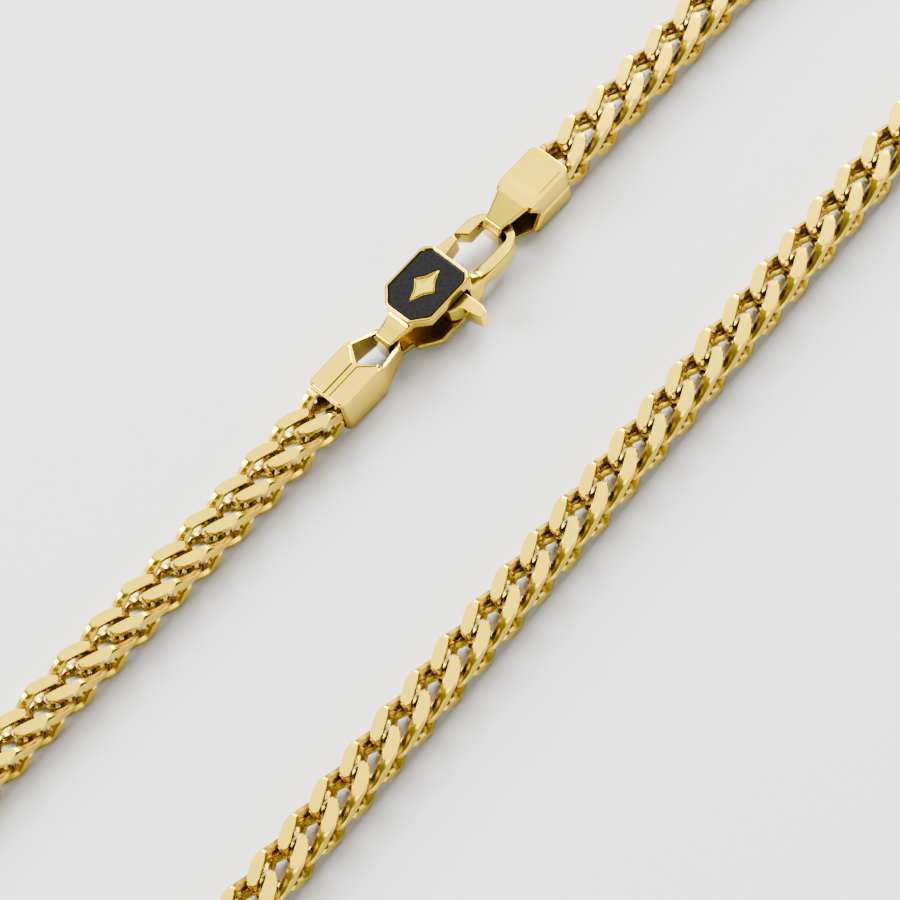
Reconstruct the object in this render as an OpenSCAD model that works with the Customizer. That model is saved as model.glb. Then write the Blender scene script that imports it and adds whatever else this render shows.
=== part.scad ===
// Square franco chain necklace with two folded end caps and a lobster clasp, lying flat.
// The clasp is on the +Y run. +X runs along the runs, from the rear cap to the front cap.
// The origin is on the surface it lies on, in the middle. All sizes are in millimetres.

/* [Chain] */
// Width and height of the square chain
chain_w = 4; // [3.2:0.1:5]
// Length of the whole closed necklace, clasp and caps included
necklace_len = 559; // [420:1:760]
// Distance between the centre lines of the two runs beside the clasp
run_gap = 25.8; // [24:0.1:60]
// Angle at which the far run closes in towards the front, in degrees
run_taper = 2.25; // [1:0.05:3]
// Chamfer on the four corners of the chain
chain_chamfer = 0.5; // [0.2:0.1:0.9]
// How much slimmer each side of the chain is inside a cap
neck_step = 0.2; // [0.1:0.05:0.5]
// How far each end of the chain reaches into its cap
chain_entry = 1.2; // [0.5:0.1:3]
// Length over which the chain comes down from the caps to the surface
settle_len = 16; // [8:1:40]

/* [End caps] */
// Thickness of the sheet that the caps are folded from
cap_wall = 0.45; // [0.3:0.05:0.7]
// Clearance between the chain's end and the inside of a cap
cap_fit = 0.1; // [0.05:0.05:0.3]
// Length of the full-height box of a cap
cap_box_len = 5.3; // [4:0.1:7]
// Length of the shoulders where the side walls narrow
cap_shoulder = 0.5; // [0.3:0.1:1]
// Length of the arms, from the shoulders to the front bend
cap_arm_len = 3.6; // [3.4:0.1:6]
// Depth of the notch between the two flaps on a flapped face
flap_notch = 1.6; // [0.8:0.1:2.4]
// Height of the band at the shoulders
band_h_rear = 3.7; // [2.6:0.1:4.2]
// Height of the band at its front bend
band_h_front = 2.1; // [1.5:0.1:2.2]
// Outside width of the loop at its front bend
loop_w_front = 2.9; // [2.7:0.1:3.6]
// Chamfer on the corners of the front bend
loop_corner = 0.55; // [0.3:0.05:0.8]
// Height of the pressed panel on each flap
panel_rise = 0.08; // [0.04:0.02:0.16]
// Margin of flap round a pressed panel
panel_margin = 0.3; // [0.2:0.05:0.5]
// Width of the seam between two flaps
seam_w = 0.12; // [0.06:0.02:0.3]
// Clearance on each side of what passes through a cap's loop
loop_fit = 0.1; // [0.1:0.05:0.2]
// Gap between a loop's front bend and the clasp it pulls on
seat_gap = 0.35; // [0.35:0.05:0.6]

/* [Clasp] */
// Length of the plaque along the chain
plaque_len = 7.7; // [6.5:0.1:9]
// Width of the plaque across the chain
plaque_w = 6.1; // [5:0.1:7]
// Sideways offset of the plaque from the chain's line
plaque_shift = 0.4; // [0:0.1:0.8]
// Height of the raised rim above the plaque's plate
rim_h = 0.4; // [0.2:0.05:0.6]
// Width of the raised rim
rim_w = 0.32; // [0.2:0.02:0.6]
// Thickness of the top plate under the rim
top_plate_t = 0.8; // [0.5:0.1:1.2]
// Thickness of the bottom plate
bottom_plate_t = 0.7; // [0.4:0.1:1]
// Width of the bottom plate across the chain
bottom_plate_w = 6.7; // [5.5:0.1:7.5]
// Clear height between the two plates
plate_gap = 2.55; // [2.4:0.05:3]
// Thickness of the tail strip
tail_t = 0.8; // [0.5:0.1:1]
// How far the tail reaches behind the plaque
tail_len = 2.9; // [2.7:0.1:4]
// Outside radius of the hook's round end
hook_r = 2.88; // [2.6:0.02:3.2]
// Width of the hook's bar in plan
hook_bar = 1.2; // [0.9:0.05:1.5]
// Radius of the two corners inside the hook's end
hook_corner = 0.6; // [0.5:0.05:0.65]
// Clear length of the ring, from the plaque to the inside of the hook's end
ring_len = 5.75; // [5.4:0.05:8]

/* [Lever] */
// Radius of the pivot pin
pin_r = 0.6; // [0.4:0.05:0.8]
// Clearance between the pin and the lever's bore
pin_clearance = 0.05; // [0.02:0.01:0.08]
// Clearance between the lever and the plates, above and below it
lever_play = 0.2; // [0.15:0.05:0.35]
// Width of the thumb tab
tab_w = 1.45; // [1:0.05:1.7]
// How far the thumb tab stands out of the bottom plate's edge
tab_out = 2.35; // [1.5:0.05:3]
// How far the gate reaches in front of the plaque
gate_reach = 2.45; // [2:0.05:3]
// Width of the gate at its tip
gate_tip_w = 0.8; // [0.6:0.05:1.1]
// Gap between the gate's tip and the hook's nose
gate_gap = 0.15; // [0.1:0.05:0.3]

/* [Plaque ornament] */
// Length of the raised lozenge
lozenge_len = 4.4; // [3:0.1:5]
// Width of the raised lozenge
lozenge_w = 2.6; // [1.6:0.1:3.4]
// Gap between the enamel and the metal round it
enamel_gap = 0.03; // [0.02:0.01:0.06]
// How far the enamel's surface lies below the rim
enamel_drop = 0.12; // [0.05:0.01:0.18]

/* [Hidden] */
GOLD = [0.87, 0.71, 0.36];
BLACK = [0.08, 0.07, 0.07];

// The caps' inside takes the slim end of the chain, and their outside adds two walls
cap_inside = chain_w - 2 * neck_step + 2 * cap_fit;
cap_w = cap_inside + 2 * cap_wall;
cap_len = cap_box_len + cap_shoulder + cap_arm_len;
mid_z = cap_w / 2;
line_y = run_gap / 2;

// The clasp's tail and hook are as wide as the caps' loops let through
tail_w = loop_w_front - 2 * cap_wall - 2 * loop_fit;
hook_h = tail_w;

// Heights of the clasp, all taken from the line through the caps
lever_h = plate_gap - 2 * lever_play;
bottom_z = mid_z - plate_gap / 2 - bottom_plate_t;
inner_low_z = bottom_z + bottom_plate_t;
inner_high_z = inner_low_z + plate_gap;
plate_top_z = inner_high_z + top_plate_t;
rim_z = plate_top_z + rim_h;

// Places of the clasp along the chain, with the plaque's middle as a part of its length
plaque_front_x = plaque_len * 0.22;
plaque_rear_x = plaque_front_x - plaque_len;
tail_x = plaque_rear_x - tail_len;
hook_inner_r = hook_r - hook_bar - 0.13;
ring_end_x = plaque_front_x + ring_len;
hook_x = ring_end_x + hook_bar - hook_r;
hook_shift = -0.22;

// The caps seat on the clasp: one in its tail, the other round its hook
front_cap_x = ring_end_x - cap_wall - seat_gap;
rear_cap_x = tail_x + tail_t + seat_gap + cap_wall;
front_mouth_x = front_cap_x + cap_len;
rear_mouth_x = rear_cap_x - cap_len;

// Where the lever turns
pivot = [-1.1, 0.7];

// The tail's strip passes over the rear cap's band, clear of it
tail_clear = 0.1;
tail_low_z = mid_z + band_h_front / 2 + tail_clear;
tail_high_z = tail_low_z + tail_t;

// The loop of the chain: the clasp's run, the far run, and a round end between them at each side.
// The two runs would meet far in front, and the circle of each end touches them both.
closure_mid_x = (front_mouth_x + rear_mouth_x) / 2;
run_meet = run_gap / tan(run_taper);
end_share = tan(run_taper / 2);
run_half = (necklace_len - 2 * PI * run_meet * end_share) / (4 + end_share * run_taper * PI / 90);
rear_r = (run_meet + run_half) * end_share;
front_r = (run_meet - run_half) * end_share;
ARC_STEPS = 16;
RUN_STEPS = 9;

// The middle of the whole necklace's box, which becomes the origin
box_low_y = line_y - rear_r - (rear_r + chain_w / 2) * cos(run_taper);
box_high_y = line_y + max(cap_w / 2, plaque_shift + plaque_w / 2);
box_mid = [closure_mid_x + (front_r - rear_r) / 2, (box_low_y + box_high_y) / 2, 0];

// Half width of the chain and height of its middle, at a distance outside a cap's mouth
function smooth(t) = let (c = min(max(t, 0), 1)) c * c * (3 - 2 * c);
function half_w(d) = d < 0.05 ? chain_w / 2 - neck_step : chain_w / 2;
function height(d) = mid_z + (chain_w / 2 - mid_z) * smooth(d / settle_len);

// A stop is x, y, heading in degrees, distance from the nearer mouth
function out_stops(mouth, way) = [
    for (d = [-chain_entry, 0, 0.3, settle_len * 0.25, settle_len * 0.5, settle_len * 0.75, settle_len])
        [mouth + way * d, d]
];
function run_stops(x0, x1, n) = [for (i = [1:n]) x0 + (x1 - x0) * i / n];
run_end_rear = closure_mid_x - run_half;
run_end_front = closure_mid_x + run_half;
far_rear = [run_end_rear + rear_r * sin(run_taper), line_y - rear_r - rear_r * cos(run_taper)];
far_front = [run_end_front + front_r * sin(run_taper), line_y - front_r - front_r * cos(run_taper)];
rear_out = [for (s = out_stops(rear_mouth_x, -1)) [s[0], line_y, 180, s[1]]];
rear_run = [
    for (x = run_stops(rear_mouth_x - settle_len, run_end_rear, RUN_STEPS)) [x, line_y, 180, settle_len]
];
rear_arc = [
    for (i = [1:ARC_STEPS]) let (a = (180 + run_taper) * i / ARC_STEPS)
        [run_end_rear - rear_r * sin(a), line_y - rear_r + rear_r * cos(a), 180 + a, settle_len]
];
far_run = [
    for (share = run_stops(0, 1, 2 * RUN_STEPS - 4)) let (spot = far_rear + share * (far_front - far_rear))
        [spot[0], spot[1], run_taper, settle_len]
];
front_arc = [
    for (i = [1:ARC_STEPS]) let (a = run_taper + (180 - run_taper) * i / ARC_STEPS)
        [run_end_front + front_r * sin(a), line_y - front_r - front_r * cos(a), a, settle_len]
];
front_run = [
    for (x = run_stops(run_end_front, front_mouth_x + settle_len, RUN_STEPS - 1)) [x, line_y, 180, settle_len]
];
front_out_list = out_stops(front_mouth_x, 1);
front_out = [
    for (i = [len(front_out_list) - 1:-1:0])
        [front_out_list[i][0], line_y, 180, front_out_list[i][1]]
];
chain_stops = concat(rear_out, rear_run, rear_arc, far_run, front_arc, front_run, front_out);

// The chain's section is a square with four chamfered corners
function section(h, c) = [
    [h, -h + c], [h, h - c], [h - c, h], [-h + c, h],
    [-h, h - c], [-h, -h + c], [-h + c, -h], [h - c, -h]
];
function ring(stop) = let (
    h = half_w(stop[3]),
    z = height(stop[3]),
    side = [-sin(stop[2]), cos(stop[2])]
) [for (p = section(h, chain_chamfer)) [stop[0] + side[0] * p[0], stop[1] + side[1] * p[0], z + p[1]]];
SIDES = 8;

// Outline of a cap's band seen through its loop, shrunk by an inset. It is open at the mouth.
function band_outline(inset) = let (
    w = cap_w / 2 - inset,
    f = loop_w_front / 2 - inset,
    corner = loop_corner - 0.6 * inset,
    arm = cap_box_len + cap_shoulder,
    end = cap_len - inset
) [
    [-inset, -w], [arm, -w], [end - 1.2 * corner, -f - 0.3 * corner], [end, -f + corner],
    [end, f - corner], [end - 1.2 * corner, f + 0.3 * corner], [arm, w], [-inset, w]
];
// Outline of the band seen from beside it: the box, the shoulders and the narrowing arms
band_side = [
    [0, -cap_w / 2], [cap_box_len, -cap_w / 2], [cap_box_len + cap_shoulder, -band_h_rear / 2],
    [cap_len - 0.9, -band_h_front / 2], [cap_len + 1, -band_h_front / 2],
    [cap_len + 1, band_h_front / 2], [cap_len - 0.9, band_h_front / 2],
    [cap_box_len + cap_shoulder, band_h_rear / 2], [cap_box_len, cap_w / 2], [0, cap_w / 2]
];
// Outline of one of the two flaps on a flapped face, from the seam to the side wall
function flap_outline(inset, edge) = let (
    tip = cap_box_len + cap_shoulder + 0.35
) [
    [inset, seam_w / 2 + inset], [tip - flap_notch - inset, seam_w / 2 + inset],
    [tip - inset * 1.6, edge - inset], [inset, edge - inset]
];

// Outlines of the clasp in plan. The share lists run along the plaque's length and half width.
plaque_shares = [
    [0, 0.72], [-0.07, 0.93], [-0.13, 1], [-0.79, 1], [-1, 0.5],
    [-1, -0.5], [-0.79, -1], [-0.13, -1], [-0.07, -0.93], [0, -0.72]
];
function plaque_outline(inset) = [
    for (s = plaque_shares) [
        plaque_front_x - inset + s[0] * (plaque_len - 2 * inset),
        plaque_shift + s[1] * (plaque_w / 2 - inset)
    ]
];
function tail_outline(half) = [
    [plaque_rear_x + 0.2, -half * 1.55], [tail_x, -half], [tail_x, half], [plaque_rear_x + 0.2, half * 1.55]
];
bottom_shares = [
    [0.04, 0.6], [-0.02, 0.9], [-0.1, 1], [-0.76, 1], [-1.04, 0.55],
    [-1.04, -0.55], [-0.76, -1], [-0.1, -1], [-0.02, -0.9], [0.04, -0.6]
];
bottom_outline = [
    for (s = bottom_shares) [plaque_front_x + s[0] * plaque_len, s[1] * bottom_plate_w / 2]
];

// The arm of the hook leaves the body on the side of the thumb tab
arm_y = hook_shift - hook_r;
arm_inner_y = hook_shift - hook_inner_r;
nose_y = hook_shift + hook_r;
nose_inner_y = hook_shift + hook_inner_r;
gate_tip_x = plaque_front_x + gate_reach;
nose_tip_x = gate_tip_x + gate_gap;
nose_slant = 0.95;

// The core starts in front of the thumb tab and stays clear of the gate's swing
core_x = 0.55;
core_y = -0.3;

// Where the arm's inner side spreads into the body: shares of the ring's length and of the hook's width
arm_spread = [[0.42, -0.01], [0.21, 0.08], [0.08, 0.22], [-0.02, 0.49]];
body_entry = 1.1;

// Points of an arc about a centre, between two angles
function arc(cx, cy, r, a0, a1, n) = [
    for (i = [0:n]) let (a = a0 + (a1 - a0) * i / n) [cx + r * cos(a), cy + r * sin(a)]
];
hook_outline = concat(
    [[plaque_front_x - body_entry, arm_y + 0.2], [plaque_front_x + body_entry, arm_y + 0.12]],
    arc(hook_x, hook_shift, hook_r, -90, 90, 24),
    [[nose_tip_x, nose_y], [nose_tip_x + nose_slant, nose_inner_y]],
    arc(ring_end_x - hook_corner, nose_inner_y - hook_corner, hook_corner, 90, 0, 8),
    arc(ring_end_x - hook_corner, arm_inner_y + hook_corner, hook_corner, 0, -90, 8),
    [for (s = arm_spread) [plaque_front_x + s[0] * ring_len, arm_inner_y + s[1] * hook_r]],
    [[plaque_front_x - body_entry, core_y - 0.05]]
);

// The lever in plan: the tab, the hub round the pin, and the gate
tab_x = -1.2;
tab_end_y = -bottom_plate_w / 2 - tab_out;
lever_outline = [
    [tab_x + 0.35, tab_end_y], [tab_x + tab_w - 0.35, tab_end_y], [tab_x + tab_w - 0.02, tab_end_y + 0.8],
    [tab_x + tab_w, -bottom_plate_w / 2 + 0.1], [tab_x + tab_w, -0.6], [0.15, 0.95],
    [plaque_front_x - 0.2, nose_y - 1.15], [gate_tip_x - 0.1, nose_y - gate_tip_w], [gate_tip_x, nose_y - 0.05],
    [plaque_front_x - 0.2, nose_y + 0.4], [-0.6, nose_y + 0.1], [-2.15, 1.9], [-2.55, 0.4],
    [-2.35, -bottom_plate_w / 2 + 0.55], [tab_x - 0.25, -bottom_plate_w / 2 + 0.05],
    [tab_x, -bottom_plate_w / 2 - 0.25], [tab_x + 0.12, tab_end_y + 0.9]
];

// A lozenge with sides that bow in a little
function lozenge(len, wide) = [
    [len / 2, 0], [len * 0.2, wide * 0.22], [0, wide / 2], [-len * 0.2, wide * 0.22],
    [-len / 2, 0], [-len * 0.2, -wide * 0.22], [0, -wide / 2], [len * 0.2, -wide * 0.22]
];
ornament_x = (plaque_front_x + plaque_rear_x) / 2 + 0.15;

// The chain's envelope, swept along the loop from the rear cap to the front cap
module chain() {
    rings = len(chain_stops);
    color(GOLD)
        polyhedron(
            points = [for (s = chain_stops) each ring(s)],
            faces = concat(
                [[for (k = [0:SIDES - 1]) k]],
                [
                    for (i = [0:rings - 2], k = [0:SIDES - 1]) let (n = (k + 1) % SIDES)
                        [i * SIDES + k, (i + 1) * SIDES + k, (i + 1) * SIDES + n, i * SIDES + n]
                ],
                [[for (k = [SIDES - 1:-1:0]) (rings - 1) * SIDES + k]]
            )
        );
}

// The two flaps of one face, with their pressed panels, lying in the XY plane
module flaps() {
    base_t = cap_wall - panel_rise;
    for (side = [0, 1]) mirror([0, side, 0]) {
        linear_extrude(base_t) polygon(flap_outline(0, cap_w / 2));
        linear_extrude(cap_wall) polygon(flap_outline(panel_margin, cap_w / 2));
    }
}

// One end cap with its mouth at x = 0, its loop towards +X and its flaps above and below
module cap() {
    intersection() {
        translate([0, 0, -cap_w / 2]) linear_extrude(cap_w) difference() {
            polygon(band_outline(0));
            polygon(band_outline(cap_wall));
        }
        translate([0, cap_w, 0]) rotate([90, 0, 0]) linear_extrude(2 * cap_w) polygon(band_side);
    }
    for (up = [0, 1]) mirror([0, 0, up]) translate([0, 0, cap_w / 2 - cap_wall]) flaps();
}

// The cap behind the clasp: its loop is open upwards, and holds the clasp's tail
module rear_cap() {
    color(GOLD) translate([rear_mouth_x, line_y, mid_z]) cap();
}

// The cap in front of the clasp: the same part turned a quarter, with the hook through it
module front_cap() {
    color(GOLD) translate([front_mouth_x, line_y, mid_z]) rotate([90, 0, 180]) cap();
}

// The plaque: its plate, the raised rim and the raised lozenge in the middle
module plaque() {
    difference() {
        translate([0, 0, inner_high_z]) linear_extrude(top_plate_t + rim_h) polygon(plaque_outline(0));
        translate([0, 0, plate_top_z]) linear_extrude(2 * rim_h) polygon(plaque_outline(rim_w));
    }
    translate([ornament_x, plaque_shift, plate_top_z - 0.05])
        linear_extrude(rim_h + 0.05) polygon(lozenge(lozenge_len, lozenge_w));
}

// The tail: a strip that comes off the plaque, bends down and joins the bottom plate
module tail() {
    corner = 0.6;
    root_w = 1.5 * tail_w;
    root_len = 0.6;
    difference() {
        union() {
            translate([0, 0, tail_low_z]) linear_extrude(tail_t) polygon(tail_outline(tail_w / 2));
            translate([0, 0, bottom_z]) linear_extrude(bottom_plate_t) polygon(tail_outline(tail_w / 2));
            translate([tail_x, -tail_w / 2, bottom_z]) cube([tail_t, tail_w, tail_high_z - bottom_z]);
        }
        for (z = [bottom_z, tail_high_z])
            translate([tail_x, 0, z]) rotate([0, 45, 0]) cube([corner, 2 * tail_w, corner], center = true);
    }
    translate([plaque_rear_x - root_len / 3, -root_w / 2, tail_low_z])
        cube([root_len, root_w, plate_top_z - tail_low_z]);
}

// The side of the body between the plates, in front of the lever. Its flank leans in as it rises.
module core() {
    foot_y = -bottom_plate_w / 2;
    lean = atan((plaque_shift - plaque_w / 2 - foot_y) / plate_gap);
    overlap = 0.1;
    difference() {
        translate([0, 0, inner_low_z - overlap]) linear_extrude(plate_gap + 2 * overlap) polygon([
            [core_x, core_y], [plaque_front_x - 0.05, core_y], [plaque_front_x + 0.5, arm_inner_y + 0.3],
            [plaque_front_x + 0.75, foot_y + 0.35], [plaque_front_x + 0.15, foot_y], [core_x, foot_y]
        ]);
        translate([core_x - 1, foot_y, inner_low_z]) rotate([-lean, 0, 0])
            translate([0, -cap_w, -cap_w]) cube([cap_w, cap_w, 3 * cap_w]);
    }
}

// The hook: a flat bar that rounds the front and ends in a slanted nose
module hook() {
    translate([0, 0, mid_z - hook_h / 2]) linear_extrude(hook_h) polygon(hook_outline);
}

module pin() {
    translate([pivot[0], pivot[1], inner_low_z - 0.1]) cylinder(r = pin_r, h = plate_gap + 0.2, $fn = 48);
}

// The whole fixed part of the clasp, soldered into one
module clasp_body() {
    color(GOLD) translate([0, line_y, 0]) {
        plaque();
        tail();
        translate([0, 0, bottom_z]) linear_extrude(bottom_plate_t) polygon(bottom_outline);
        core();
        hook();
        pin();
    }
}

// The lever that turns on the pin: pushing its tab towards the tail opens the gate inwards
module clasp_lever() {
    color(GOLD) translate([0, line_y, mid_z - lever_h / 2]) difference() {
        linear_extrude(lever_h) polygon(lever_outline);
        translate([pivot[0], pivot[1], -1])
            cylinder(r = pin_r + pin_clearance, h = lever_h + 2, $fn = 48);
    }
}

// The black enamel round the lozenge
module plaque_enamel() {
    color(BLACK) translate([0, line_y, plate_top_z + enamel_gap])
        linear_extrude(rim_h - enamel_drop - enamel_gap) difference() {
            polygon(plaque_outline(rim_w + enamel_gap));
            translate([ornament_x, plaque_shift])
                polygon(lozenge(lozenge_len + 6 * enamel_gap, lozenge_w + 4 * enamel_gap));
        }
}

translate(-box_mid) chain();
translate(-box_mid) rear_cap();
translate(-box_mid) front_cap();
translate(-box_mid) clasp_body();
translate(-box_mid) clasp_lever();
translate(-box_mid) plaque_enamel();
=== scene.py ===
"""A gold-tone square chain necklace with end caps and a lobster clasp, lying on a pale floor.

Sizes are in millimetres and are turned into metres where a mesh or an object is made. Only the
floor and the lights are so large that they are given in metres.
"""
import math

import bmesh
import bpy
import numpy as np
from mathutils import Matrix, Vector


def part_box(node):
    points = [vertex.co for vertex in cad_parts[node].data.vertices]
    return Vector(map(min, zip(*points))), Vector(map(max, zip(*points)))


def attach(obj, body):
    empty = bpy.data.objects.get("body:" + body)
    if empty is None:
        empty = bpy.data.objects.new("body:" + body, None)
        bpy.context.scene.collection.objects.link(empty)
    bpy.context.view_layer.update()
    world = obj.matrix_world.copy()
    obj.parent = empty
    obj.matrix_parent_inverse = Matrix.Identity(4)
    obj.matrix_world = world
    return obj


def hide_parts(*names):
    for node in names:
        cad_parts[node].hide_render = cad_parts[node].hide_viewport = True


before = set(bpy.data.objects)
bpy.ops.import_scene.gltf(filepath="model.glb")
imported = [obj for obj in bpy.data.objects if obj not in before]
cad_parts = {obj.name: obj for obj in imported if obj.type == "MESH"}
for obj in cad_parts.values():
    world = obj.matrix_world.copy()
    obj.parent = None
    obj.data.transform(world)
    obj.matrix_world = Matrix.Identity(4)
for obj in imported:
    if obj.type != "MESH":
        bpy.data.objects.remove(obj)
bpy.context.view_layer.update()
MM = 0.001


def box_mm(node):
    """Lowest and highest corner of a CAD node, in millimetres."""
    low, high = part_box(node)
    return np.array(low) / MM, np.array(high) / MM


def smooth(t):
    """Eases from 0 to 1 while t goes from 0 to 1, and stays level outside that."""
    t = np.clip(t, 0, 1)
    return t * t * (3 - 2 * t)


# The chain's own sizes, which the frame doesn't state

CHAIN_W = 4.0
HALF_W = CHAIN_W / 2
# Angle between the loop's two long runs
RUN_TAPER = math.radians(2.25)
# Length over which the chain comes down from the caps to the surface
SETTLE_LEN = 16.0
# How far the chain reaches into a cap
CHAIN_ENTRY = 1.2
# How much the chain's half width narrows inside a cap, and over which length
NECK_STEP = 0.2
NECK_LEN = 0.6

# Places read from the frame

chain_low, chain_high = box_mm("chain")
rear_low, rear_high = box_mm("rear_cap")
front_low, front_high = box_mm("front_cap")
enamel_low, enamel_high = box_mm("plaque_enamel")
LINE_Y = (rear_low[1] + rear_high[1]) / 2
MID_Z = (rear_low[2] + rear_high[2]) / 2
CAP_HALF = (rear_high[1] - rear_low[1]) / 2
REAR_MOUTH = rear_low[0]
FRONT_MOUTH = front_high[0]
CLOSURE_MID = (REAR_MOUTH + FRONT_MOUTH) / 2

# The chain's loop: the clasp's run, interrupted by the closure, the far run, and a round end at each side

REAR_R = (LINE_Y - chain_low[1] - HALF_W * math.cos(RUN_TAPER)) / (1 + math.cos(RUN_TAPER))
REAR_X = chain_low[0] + REAR_R + HALF_W
FRONT_X = 2 * CLOSURE_MID - REAR_X
FRONT_R = chain_high[0] - HALF_W - FRONT_X


def far_run_end(middle_x, radius):
    """Where the far run meets the round end with the given middle and radius."""
    return np.array([
        middle_x + radius * math.sin(RUN_TAPER),
        LINE_Y - radius - radius * math.cos(RUN_TAPER),
    ])


FAR_START = far_run_end(REAR_X, REAR_R)
FAR_LEN = float(np.linalg.norm(far_run_end(FRONT_X, FRONT_R) - FAR_START))
RUN_LEN = REAR_MOUTH - REAR_X
REAR_ARC_LEN = REAR_R * (math.pi + RUN_TAPER)
FRONT_ARC_LEN = FRONT_R * (math.pi - RUN_TAPER)
# Lengths from the rear cap's mouth to the end of each stretch of the loop
RUN_MARK, REAR_ARC_MARK, FAR_MARK, FRONT_ARC_MARK, CHAIN_LEN = np.cumsum(
    [RUN_LEN, REAR_ARC_LEN, FAR_LEN, FRONT_ARC_LEN, RUN_LEN]
)


def middle_line(s):
    """Places and heading of the chain's middle line in plan, at the lengths s from the rear mouth."""
    x, y, heading = np.empty_like(s), np.empty_like(s), np.empty_like(s)

    first = s < RUN_MARK
    x[first] = REAR_MOUTH - s[first]
    y[first] = LINE_Y
    heading[first] = math.pi

    turn = (s >= RUN_MARK) & (s < REAR_ARC_MARK)
    angle = (s[turn] - RUN_MARK) / REAR_R
    x[turn] = REAR_X - REAR_R * np.sin(angle)
    y[turn] = LINE_Y - REAR_R + REAR_R * np.cos(angle)
    heading[turn] = math.pi + angle

    far = (s >= REAR_ARC_MARK) & (s < FAR_MARK)
    gone = s[far] - REAR_ARC_MARK
    x[far] = FAR_START[0] + gone * math.cos(RUN_TAPER)
    y[far] = FAR_START[1] + gone * math.sin(RUN_TAPER)
    heading[far] = RUN_TAPER

    back = (s >= FAR_MARK) & (s < FRONT_ARC_MARK)
    angle = RUN_TAPER + (s[back] - FAR_MARK) / FRONT_R
    x[back] = FRONT_X + FRONT_R * np.sin(angle)
    y[back] = LINE_Y - FRONT_R - FRONT_R * np.cos(angle)
    heading[back] = angle

    last = s >= FRONT_ARC_MARK
    x[last] = FRONT_X - (s[last] - FRONT_ARC_MARK)
    y[last] = LINE_Y
    heading[last] = math.pi
    return x, y, heading


def along_chain(s, side, up):
    """Maps points of a straight chain to the loop.

    s is the length from the rear mouth, side is to the left of the way, up is from the middle line.
    """
    x, y, heading = middle_line(s)
    from_mouth = np.minimum(s, CHAIN_LEN - s)
    slim = 1 - NECK_STEP / HALF_W * smooth(0.5 - from_mouth / NECK_LEN)
    z = MID_Z + (HALF_W - MID_Z) * smooth(from_mouth / SETTLE_LEN)
    x = x - side * slim * np.sin(heading)
    y = y + side * slim * np.cos(heading)
    return np.stack([x, y, z + up * slim], axis=1)


# Materials

# Sizes of the noise patterns, in cells per metre
MOTTLE_SCALE = 900
GRAIN_SCALE = 5200
STIPPLE_SCALE = 3200
# Depths of the relief that the bump of each material stands for, in mm
MOTTLE_DEPTH = 0.04
STIPPLE_DEPTH = 0.03
# Painted shade: where little open space is within reach, the gold is painted brown in place of the shade
# that falls in recesses.
RECESS_SHADE_BROWN = (0.17, 0.135, 0.065)
# Share of full gold against the painted recess shade, by how much open space the AO node finds
GOLD_UNSHADED_SHARES = [(0.22, (0, 0, 0)), (0.82, (1, 1, 1))]
SHADE_SAMPLES = 8


def new_material(name):
    """A material, its nodes, its links and its shader node."""
    material = bpy.data.materials.new(name)
    material.use_nodes = True
    nodes = material.node_tree.nodes
    return material, nodes, material.node_tree.links, nodes["Principled BSDF"]


def ramp(nodes, stops):
    """A colour ramp with the given (place, colour) stops."""
    node = nodes.new("ShaderNodeValToRGB")
    elements = node.color_ramp.elements
    while len(elements) < len(stops):
        elements.new(0.5)
    for element, (place, colour) in zip(elements, stops):
        element.position = place
        element.color = (*colour, 1)
    return node


def noise(nodes, links, scale, detail):
    """A noise pattern that stays in place on the piece."""
    coords = nodes.new("ShaderNodeTexCoord")
    pattern = nodes.new("ShaderNodeTexNoise")
    pattern.inputs["Scale"].default_value = scale
    pattern.inputs["Detail"].default_value = detail
    links.new(coords.outputs["Object"], pattern.inputs["Vector"])
    return pattern


def relief(nodes, links, shader, pattern, strength, depth):
    """Turns a noise pattern into bumps of the given depth in mm."""
    bump = nodes.new("ShaderNodeBump")
    bump.inputs["Strength"].default_value = strength
    bump.inputs["Distance"].default_value = depth * MM
    links.new(pattern.outputs["Fac"], bump.inputs["Height"])
    links.new(bump.outputs["Normal"], shader.inputs["Normal"])


def unshaded_share(nodes, links, reach):
    """How much of each place keeps its full gold rather than the painted shade: less where little open space
    is within reach, in mm.
    """
    openness = nodes.new("ShaderNodeAmbientOcclusion")
    openness.inputs["Distance"].default_value = reach * MM
    openness.samples = SHADE_SAMPLES
    share = ramp(nodes, GOLD_UNSHADED_SHARES)
    links.new(openness.outputs["AO"], share.inputs["Fac"])
    return share


def gold(name, light, deep, rough_low, rough_high, bump, shade_reach):
    """Polished gold-tone metal with a fine mottle, a finer grain in its gloss and painted brown shade in its
    recesses.
    """
    material, nodes, links, shader = new_material(name)
    shader.inputs["Metallic"].default_value = 1.0
    mottle = noise(nodes, links, scale=MOTTLE_SCALE, detail=5)
    colours = ramp(nodes, [(0.3, deep), (0.7, light)])
    links.new(mottle.outputs["Fac"], colours.inputs["Fac"])

    # Painted shade: the recess brown is mixed into the base colour where the AO node finds little open space
    shaded_colour = nodes.new("ShaderNodeMixRGB")
    shaded_colour.inputs["Color1"].default_value = (*RECESS_SHADE_BROWN, 1)
    links.new(unshaded_share(nodes, links, shade_reach).outputs["Color"], shaded_colour.inputs["Fac"])
    links.new(colours.outputs["Color"], shaded_colour.inputs["Color2"])
    links.new(shaded_colour.outputs["Color"], shader.inputs["Base Color"])

    grain = noise(nodes, links, scale=GRAIN_SCALE, detail=3)
    rough = nodes.new("ShaderNodeMapRange")
    rough.inputs["To Min"].default_value = rough_low
    rough.inputs["To Max"].default_value = rough_high
    links.new(grain.outputs["Fac"], rough.inputs["Value"])
    links.new(rough.outputs["Result"], shader.inputs["Roughness"])
    relief(nodes, links, shader, mottle, strength=bump, depth=MOTTLE_DEPTH)
    return material


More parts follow.
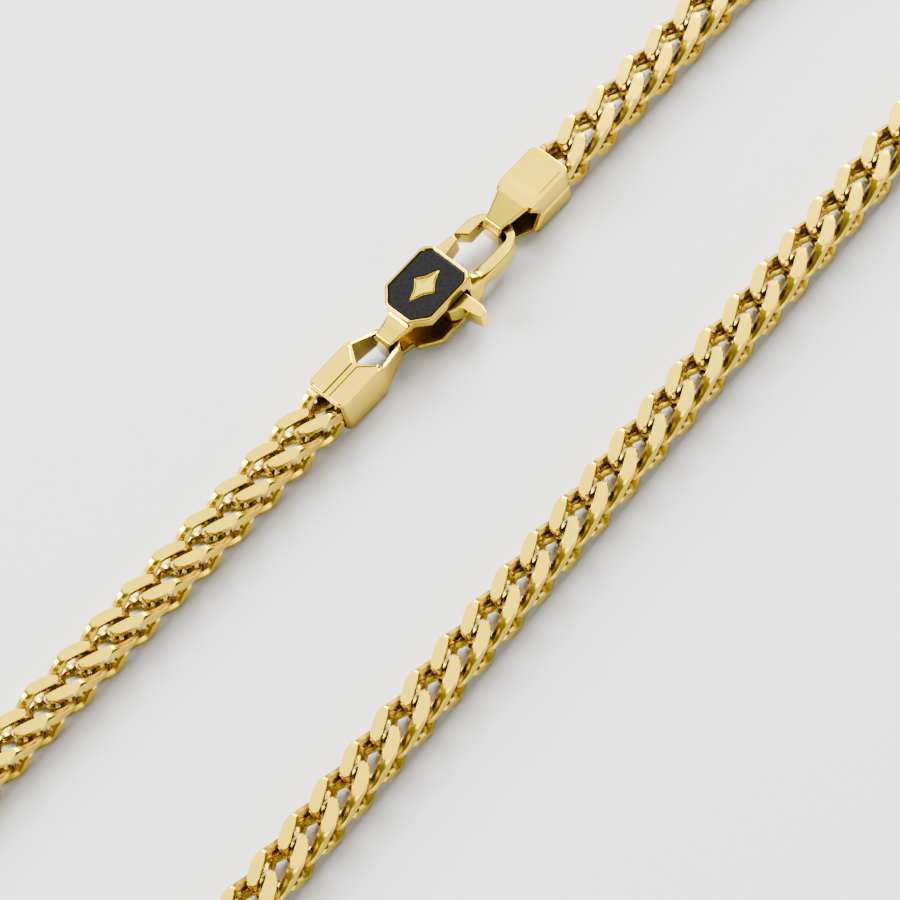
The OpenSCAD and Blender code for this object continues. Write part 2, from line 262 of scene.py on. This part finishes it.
def enamel(name):
    """Glossy black enamel with a finely stippled floor."""
    material, nodes, links, shader = new_material(name)
    stipple = noise(nodes, links, scale=STIPPLE_SCALE, detail=4)
    colours = ramp(nodes, [(0.35, (0.004, 0.004, 0.004)), (0.75, (0.012, 0.010, 0.010))])
    links.new(stipple.outputs["Fac"], colours.inputs["Fac"])
    links.new(colours.outputs["Color"], shader.inputs["Base Color"])
    relief(nodes, links, shader, stipple, strength=0.35, depth=STIPPLE_DEPTH)
    shader.inputs["Roughness"].default_value = 0.22
    shader.inputs["Specular IOR Level"].default_value = 0.10
    return material


CHAIN_GOLD = gold(
    "chain_gold", light=(0.98, 0.70, 0.008), deep=(0.92, 0.63, 0.005),
    rough_low=0.14, rough_high=0.26, bump=0.06, shade_reach=2.0,
)
FITTING_GOLD = gold(
    "fitting_gold", light=(0.98, 0.70, 0.010), deep=(0.93, 0.64, 0.006),
    rough_low=0.12, rough_high=0.22, bump=0.05, shade_reach=4.0,
)
ENAMEL = enamel("black_enamel")


def mesh_object(name, mesh, material, body):
    """A piece of the necklace that rides on a body of the frame."""
    piece = bpy.data.objects.new(name, mesh)
    bpy.context.scene.collection.objects.link(piece)
    mesh.materials.clear()
    mesh.materials.append(material)
    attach(piece, body)
    return piece


# The links: flat oval rings of two leans, crossed at mid-height and cut flat at the chain's four faces

PITCH = 4.3
# How far along the chain the links of each run are moved, so that their places are the photo's
REAR_SHIFT = -1.5
FAR_SHIFT = -0.2
FRONT_SHIFT = 1.65
# The rear run's links are the mirror image of the others, and both kinds meet halfway round the rear end.
# On the way there the mirrored ones are moved on by JOIN_EASE, and the heights of the last ones are
# scaled by JOIN_SINK, so that no two cut faces lie in one plane.
JOIN_EASE = 0.15
JOIN_SINK = 0.985
JOIN_PITCHES = 1.5

WIRE_SIDES = 10
WIRE_STEPS = 36
# Step of the curve through a ring's rows, as a share of a row
CURVE_STEP = 0.05
# The wire's profile is turned away from the ring's middle, with less heed to the place along the chain
OUTWARD_EASE = np.array([0.6, 1, 1])
# Points that are nearer to a cut than this, in mm, count as on it
ON_CUT = 1e-5
# Points of a ring that are nearer to each other than this, in mm, are made one
MERGE = 0.004
# Edges that turn more than this stay sharp
CREASE = math.radians(32)

# Middle line of a ring. Each row: place along the chain in pitches, side in mm, height in mm and the
# wire's radius in mm. These rows climb the -Y flank from mid-height, go along the upper face and turn
# down at the front end.
UPPER_ARC = [
    (-0.47, -1.52, -0.06, 0.53),
    (-0.27, -1.60, 0.26, 0.63),
    (-0.08, -1.62, 0.82, 0.66),
    (0.06, -1.58, 1.34, 0.66),
    (0.20, -1.48, 1.62, 0.66),
    (0.37, -1.20, 1.71, 0.65),
    (0.54, -0.85, 1.72, 0.63),
    (0.665, -0.52, 1.64, 0.58),
]
# The front end then passes inside the crossed ring, on its way to the lower face
INNER_CROSSING = [
    (0.715, -0.10, 1.08, 0.46),
    (0.65, 0.34, 0.42, 0.44),
    (0.47, 0.58, -0.14, 0.45),
    (0.27, 0.98, -0.66, 0.52),
]
# The lower face has the upper rows again, reflected in the ring's middle, without the first two
REFLECTED = np.array([-1, -1, -1, 1])
# The rear end comes back up outside the crossed ring
OUTER_CROSSING = [
    (-0.71, -0.15, -1.06, 0.46),
    (-0.62, -1.10, -0.58, 0.47),
]


def smooth_curve(before, here, after, beyond):
    """Points of a smooth curve from here to after, which also heeds the rows next to them."""
    return [
        0.5 * (2 * here + (after - before) * t
               + (2 * before - 5 * here + 4 * after - beyond) * t ** 2
               + (3 * here - before - 3 * after + beyond) * t ** 3)
        for t in np.arange(0, 1, CURVE_STEP)
    ]


def wire_course():
    """Middle points and radii of the wire, evenly spaced round one ring."""
    upper = np.array(UPPER_ARC)
    loop = np.vstack([upper, INNER_CROSSING, upper[2:] * REFLECTED, OUTER_CROSSING])
    loop[:, 0] *= PITCH
    curve = []
    for i in range(len(loop)):
        curve += smooth_curve(*(loop[(i + k) % len(loop)] for k in (-1, 0, 1, 2)))
    closed = np.vstack([curve, curve[:1]])
    steps = np.linalg.norm(np.diff(closed[:, :3], axis=0), axis=1)
    reach = np.concatenate([[0], np.cumsum(steps)])
    wanted = np.linspace(0, reach[-1], WIRE_STEPS, endpoint=False)
    return np.stack([np.interp(wanted, reach, closed[:, k]) for k in range(4)], axis=1)


def wire_row(link, middle, radius, way):
    """The corners of the wire at one place of the ring."""
    outward = middle * OUTWARD_EASE
    outward -= way * outward.dot(way)
    outward /= np.linalg.norm(outward)
    across = np.cross(way, outward)
    row = []
    for k in range(WIRE_SIDES):
        angle = 2 * math.pi * k / WIRE_SIDES
        corner = middle + radius * (math.cos(angle) * outward + math.sin(angle) * across)
        row.append(link.verts.new(corner))
    return row


def cut_faces(link):
    """Cuts the ring flat at the chain's four faces and closes the cuts."""
    for normal in ((0, 0, 1), (0, 0, -1), (0, 1, 0), (0, -1, 0)):
        parts = link.verts[:] + link.edges[:] + link.faces[:]
        place = [HALF_W * c for c in normal]
        cut = bmesh.ops.bisect_plane(
            link, geom=parts, plane_co=place, plane_no=normal, clear_outer=True, dist=ON_CUT
        )
        rim = [e for e in cut["geom_cut"] if isinstance(e, bmesh.types.BMEdge)]
        bmesh.ops.holes_fill(link, edges=rim, sides=0)


def link_mesh():
    """One ring as a bmesh in millimetres."""
    course = wire_course()
    middles, radii = course[:, :3], course[:, 3]
    ahead = np.roll(middles, -1, axis=0) - np.roll(middles, 1, axis=0)
    ahead /= np.linalg.norm(ahead, axis=1)[:, None]
    link = bmesh.new()
    rows = [wire_row(link, *place) for place in zip(middles, radii, ahead)]
    for i in range(WIRE_STEPS):
        here, after = rows[i], rows[(i + 1) % WIRE_STEPS]
        for k in range(WIRE_SIDES):
            n = (k + 1) % WIRE_SIDES
            link.faces.new((here[k], here[n], after[n], after[k]))
    bmesh.ops.recalc_face_normals(link, faces=link.faces)
    cut_faces(link)
    bmesh.ops.remove_doubles(link, verts=link.verts[:], dist=MERGE)
    bmesh.ops.dissolve_degenerate(link, edges=link.edges[:], dist=MERGE)
    bmesh.ops.triangulate(link, faces=[f for f in link.faces if len(f.verts) > 4])
    bmesh.ops.recalc_face_normals(link, faces=link.faces)
    link.verts.index_update()
    return link


MIRROR_END = RUN_LEN + REAR_ARC_LEN / 2


def ring_places(half_reach):
    """Where the rings are along the chain, two at each pitch, moved to suit the run that they are on."""
    first = half_reach - CHAIN_ENTRY
    count = round((CHAIN_LEN - 2 * first) / PITCH) + 1
    places = np.repeat(np.linspace(first, CHAIN_LEN - first, count), 2)
    rear_shift = REAR_SHIFT + JOIN_EASE * smooth((places - RUN_MARK) / (REAR_ARC_LEN / 2))
    front_shift = FAR_SHIFT + (FRONT_SHIFT - FAR_SHIFT) * smooth((places - FAR_MARK) / FRONT_ARC_LEN)
    return places + np.where(places < MIRROR_END, rear_shift, front_shift)


def chain_links():
    """All the links of the necklace as one mesh. The second ring of each pitch is the first one turned."""
    link = link_mesh()
    points = np.array([v.co[:] for v in link.verts])
    faces = [[v.index for v in f.verts] for f in link.faces]
    link.free()
    all_points, all_faces = [], []
    for i, place in enumerate(ring_places(np.abs(points[:, 0]).max())):
        turn = np.array([1, 1, 1]) if i % 2 == 0 else np.array([-1, -1, 1])
        mirrored = place < MIRROR_END
        flip = np.array([1, -1, 1]) if mirrored else np.array([1, 1, 1])
        local = points * turn * flip
        if MIRROR_END - JOIN_PITCHES * PITCH < place < MIRROR_END:
            local = local * np.array([1, 1, JOIN_SINK])
        base = i * len(points)
        all_points.append(along_chain(place + local[:, 0], local[:, 1], local[:, 2]))
        for face in faces:
            order = face[::-1] if mirrored else face
            all_faces.append([base + k for k in order])
    mesh = bpy.data.meshes.new("franco_links")
    mesh.from_pydata((np.vstack(all_points) * MM).tolist(), [], all_faces)
    mesh.validate()
    mesh.shade_smooth()
    mesh.set_sharp_from_angle(angle=CREASE)
    return mesh


links_piece = mesh_object("franco_links", chain_links(), CHAIN_GOLD, "necklace")
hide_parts("chain")


# The fittings: the CAD shapes with all their edges worn round, and some finer forms worked into them

# Caps: length of the box, radius of the mouth's corners in plan, and the flaps' thin tips, which are
# within TIP_REACH of both walls and keep only TIP_SHARE of their length past the box
BOX_LEN = 5.4
MOUTH_CORNER = 0.85
TIP_REACH = 0.5
TIP_SHARE = 0.15
# The panel pressed into the front cap's upper and lower wall, and the skin that it moves
PANEL_RIM = 0.42
PANEL_DEPTH = 0.05
PANEL_SLOPE = 0.40
PANEL_LEN = 5.0
PANEL_END_SLOPE = 1.5
WALL_SKIN = 0.06
# The lozenge: how far its four facets fall from the middle to the edge, its size and its place. Its top
# is all that lies LOZENGE_ABOVE over the enamel and within LOZENGE_MARGIN of its size.
LOZENGE_RISE = 0.16
LOZENGE_HALF_LEN = 2.2
LOZENGE_HALF_W = 1.3
LOZENGE_SHIFT = 0.15
LOZENGE_ABOVE = 0.02
LOZENGE_MARGIN = 1.05
# The tail: its root behind the enamel, its length, the drop of its end and the height of its underside
TAIL_ROOT = 0.35
TAIL_LEN = 2.9
TAIL_DROP = 0.38
TAIL_UNDERSIDE = 3.85
# The hook's root: how far it reaches behind and before the enamel's front edge, how far it lies beside
# the clasp's line and below the enamel, and the length over which its blending fades at each limit
ROOT_REAR = 0.9
ROOT_REAR_FADE = 0.6
ROOT_FRONT = 2.6
ROOT_FRONT_FADE = 1.4
ROOT_SIDE = 0.5
ROOT_SIDE_FADE = 0.6
ROOT_TOP = 0.3
ROOT_TOP_FADE = 0.35
BLEND_ROUNDS = 90
# How far each round of smoothing moves a point towards its neighbours
SMOOTH_FACTOR = 0.5


def worn_mesh(node, voxel, rounds):
    """An even mesh of a CAD node, smoothed so that its edges turn round as on a polished casting."""
    copy = bpy.data.objects.new(node + "_copy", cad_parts[node].data.copy())
    bpy.context.scene.collection.objects.link(copy)
    even = copy.modifiers.new("even", "REMESH")
    even.mode = "VOXEL"
    even.voxel_size = voxel * MM
    even.use_smooth_shade = True
    wear = copy.modifiers.new("wear", "SMOOTH")
    wear.factor = SMOOTH_FACTOR
    wear.iterations = rounds
    state = bpy.context.evaluated_depsgraph_get()
    mesh = bpy.data.meshes.new_from_object(copy.evaluated_get(state))
    bpy.data.objects.remove(copy)
    return mesh


def rounded_mouth(points, mouth, into):
    """Rounds the two corners of a cap's mouth in plan. The cap extends from its mouth towards into."""
    ahead = 1 - (points[:, 0] - mouth) * into / MOUTH_CORNER
    side = points[:, 1] - LINE_Y
    beside = (np.abs(side) - CAP_HALF) / MOUTH_CORNER + 1
    corner = (ahead > 0) & (beside > 0)
    a, b = ahead[corner], beside[corner]
    pull = np.maximum(a, b) / np.hypot(a, b)
    points[corner, 0] = mouth + into * MOUTH_CORNER * (1 - a * pull)
    points[corner, 1] = LINE_Y + np.sign(side[corner]) * (CAP_HALF - MOUTH_CORNER * (1 - b * pull))
    return points


def blunt_shoulders(points, depth):
    """Takes the thin tips off the flaps, where they pass the shoulders of the box."""
    side = np.abs(points[:, 1] - LINE_Y)
    rise = np.abs(points[:, 2] - MID_Z)
    tip = (np.minimum(side, rise) > CAP_HALF - TIP_REACH) & (depth > BOX_LEN)
    return np.where(tip, BOX_LEN + TIP_SHARE * (depth - BOX_LEN), depth)


def rear_cap_form(points):
    """Blunts the shoulders and rounds the mouth's corners."""
    points[:, 0] = REAR_MOUTH + blunt_shoulders(points, points[:, 0] - REAR_MOUTH)
    return rounded_mouth(points, REAR_MOUTH, 1)


def front_cap_form(points):
    """The same, with a shallow panel pressed into the upper and the lower wall."""
    depth = blunt_shoulders(points, FRONT_MOUTH - points[:, 0])
    points[:, 0] = FRONT_MOUTH - depth
    side = np.abs(points[:, 1] - LINE_Y)
    inset = np.minimum(depth - PANEL_RIM, CAP_HALF - PANEL_RIM - side)
    reach = smooth((PANEL_LEN - depth) / PANEL_END_SLOPE)
    pressed = PANEL_DEPTH * smooth(inset / PANEL_SLOPE) * reach
    rise = points[:, 2] - MID_Z
    outer = np.abs(rise) > CAP_HALF - WALL_SKIN
    points[outer, 2] -= np.sign(rise[outer]) * pressed[outer]
    return rounded_mouth(points, FRONT_MOUTH, -1)


def ridged_lozenge(points):
    """Turns the lozenge's flat top into four facets that rise to its middle."""
    middle = (enamel_low + enamel_high) / 2
    along = np.abs(points[:, 0] - middle[0] - LOZENGE_SHIFT) / LOZENGE_HALF_LEN
    beside = np.abs(points[:, 1] - middle[1]) / LOZENGE_HALF_W
    away = np.clip(along + beside, 0, 1)
    top = (points[:, 2] > enamel_high[2] + LOZENGE_ABOVE) & (along + beside < LOZENGE_MARGIN)
    points[top, 2] -= LOZENGE_RISE * away[top]
    return points


def casting_form(points):
    """The ridged lozenge, and a tail whose upper face bends down to its end."""
    behind = (enamel_low[0] - TAIL_ROOT - points[:, 0]) / TAIL_LEN
    upper = (behind > 0) & (points[:, 2] > TAIL_UNDERSIDE)
    points[upper, 2] -= TAIL_DROP * smooth(behind[upper])
    return ridged_lozenge(points)


def at_hook_root(points):
    """How much each point belongs to the place where the hook leaves the body, under the plaque's corner."""
    x, y, z = points.T
    past_rear = smooth((x - enamel_high[0] + ROOT_REAR) / ROOT_REAR_FADE)
    before_front = smooth((enamel_high[0] + ROOT_FRONT - x) / ROOT_FRONT_FADE)
    beside = smooth((LINE_Y - ROOT_SIDE - y) / ROOT_SIDE_FADE)
    below = smooth((enamel_high[2] - ROOT_TOP - z) / ROOT_TOP_FADE)
    return past_rear * before_front * beside * below


def blend(mesh, points, place):
    """Smooths one place further, so that its steps flow together. Returns the new points."""
    share = place(points)
    shape = bmesh.new()
    shape.from_mesh(mesh)
    shape.verts.ensure_lookup_table()
    verts = [shape.verts[i] for i in np.flatnonzero(share > 0)]
    for _ in range(BLEND_ROUNDS):
        bmesh.ops.smooth_vert(
            shape, verts=verts, factor=SMOOTH_FACTOR, use_axis_x=True, use_axis_y=True, use_axis_z=True
        )
    smoothed = np.array([v.co[:] for v in shape.verts]) / MM
    shape.free()
    return points + share[:, None] * (smoothed - points)


def fitting(name, node, body, voxel, rounds, form=None, place=None):
    """A gold piece in the form of a CAD node. place is where it is blended, form is worked into it last."""
    mesh = worn_mesh(node, voxel, rounds)
    mesh.name = name
    flat = np.empty(len(mesh.vertices) * 3)
    mesh.vertices.foreach_get("co", flat)
    points = flat.reshape(-1, 3) / MM
    if place:
        points = blend(mesh, points, place)
    if form:
        points = form(points)
    mesh.vertices.foreach_set("co", (points * MM).ravel())
    mesh.update()
    piece = mesh_object(name, mesh, FITTING_GOLD, body)
    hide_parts(node)


fitting("rear_cap_folded", "rear_cap", "necklace", voxel=0.07, rounds=5, form=rear_cap_form)
fitting("front_cap_folded", "front_cap", "necklace", voxel=0.07, rounds=5, form=front_cap_form)
fitting(
    "clasp_casting", "clasp_body", "necklace", voxel=0.07, rounds=12, form=casting_form, place=at_hook_root
)
fitting("clasp_gate_lever", "clasp_lever", "lever", voxel=0.06, rounds=12)

enamel_mesh = worn_mesh("plaque_enamel", voxel=0.06, rounds=2)
enamel_piece = mesh_object("enamel_field", enamel_mesh, ENAMEL, "necklace")
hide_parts("plaque_enamel")


# Floor, light and camera. The floor and the lights are in metres.

FLOOR_HALF = 3.0
FLOOR_DROP = 0.0002
FLOOR_TONE = 0.92
FLOOR_ROUGHNESS = 0.9
WORLD_STRENGTH = 0.15


def pale_floor():
    """A plain matt floor, just under the surface that the necklace lies on."""
    corners = [(x * FLOOR_HALF, y * FLOOR_HALF, 0) for x, y in ((-1, -1), (1, -1), (1, 1), (-1, 1))]
    mesh = bpy.data.meshes.new("floor")
    mesh.from_pydata(corners, [], [(0, 1, 2, 3)])
    floor = bpy.data.objects.new("floor", mesh)
    floor.location.z = -FLOOR_DROP
    bpy.context.scene.collection.objects.link(floor)
    material, _, _, shader = new_material("floor")
    shader.inputs["Base Color"].default_value = (FLOOR_TONE, FLOOR_TONE, FLOOR_TONE, 1)
    shader.inputs["Roughness"].default_value = FLOOR_ROUGHNESS
    mesh.materials.append(material)
    return floor


def studio_world():
    """Even white light from all round."""
    world = bpy.data.worlds.new("studio")
    bpy.context.scene.world = world
    world.use_nodes = True
    background = world.node_tree.nodes["Background"]
    background.inputs["Color"].default_value = (1, 1, 1, 1)
    background.inputs["Strength"].default_value = WORLD_STRENGTH


def soft_light(name, place, size, power):
    """A square area light that faces the necklace's middle."""
    light = bpy.data.lights.new(name, "AREA")
    light.size = size
    light.energy = power
    lamp = bpy.data.objects.new(name, light)
    lamp.location = place
    lamp.rotation_euler = (-Vector(place)).to_track_quat("-Z", "Y").to_euler()
    bpy.context.scene.collection.objects.link(lamp)


pale_floor()
studio_world()
soft_light("overhead", place=(0.16, 0.27, 0.62), size=0.5, power=2.4)
soft_light("left", place=(-0.6, 0.6, 0.5), size=0.5, power=26)
soft_light("right", place=(0.65, 0.25, 0.5), size=0.5, power=20)
soft_light("rear", place=(-0.35, -0.75, 0.5), size=0.4, power=3)

# The photo's viewpoint: the place in mm, the way to the picture's right and the way that the camera looks
CAMERA_PLACE = np.array([-94.68, -135.01, 318.88])
CAMERA_RIGHT = np.array([0.6626, -0.7354, -0.1421])
CAMERA_FORWARD = np.array([0.238, 0.3866, -0.891])
CAMERA_LENS = 151.46
CAMERA_SENSOR = 36
CAMERA_CLIP_START = 0.01


def photo_camera():
    """The camera, turned so that its right-hand way is square to the way that it looks."""
    forward = CAMERA_FORWARD / np.linalg.norm(CAMERA_FORWARD)
    right = CAMERA_RIGHT - forward * CAMERA_RIGHT.dot(forward)
    right /= np.linalg.norm(right)
    data = bpy.data.cameras.new("camera")
    data.lens = CAMERA_LENS
    data.sensor_width = CAMERA_SENSOR
    data.clip_start = CAMERA_CLIP_START
    camera = bpy.data.objects.new("camera", data)
    bpy.context.scene.collection.objects.link(camera)
    axes = np.eye(4)
    axes[:3, 0] = right
    axes[:3, 1] = np.cross(right, forward)
    axes[:3, 2] = -forward
    axes[:3, 3] = CAMERA_PLACE * MM
    camera.matrix_world = Matrix(axes.tolist())
    return camera


bpy.context.scene.camera = photo_camera()
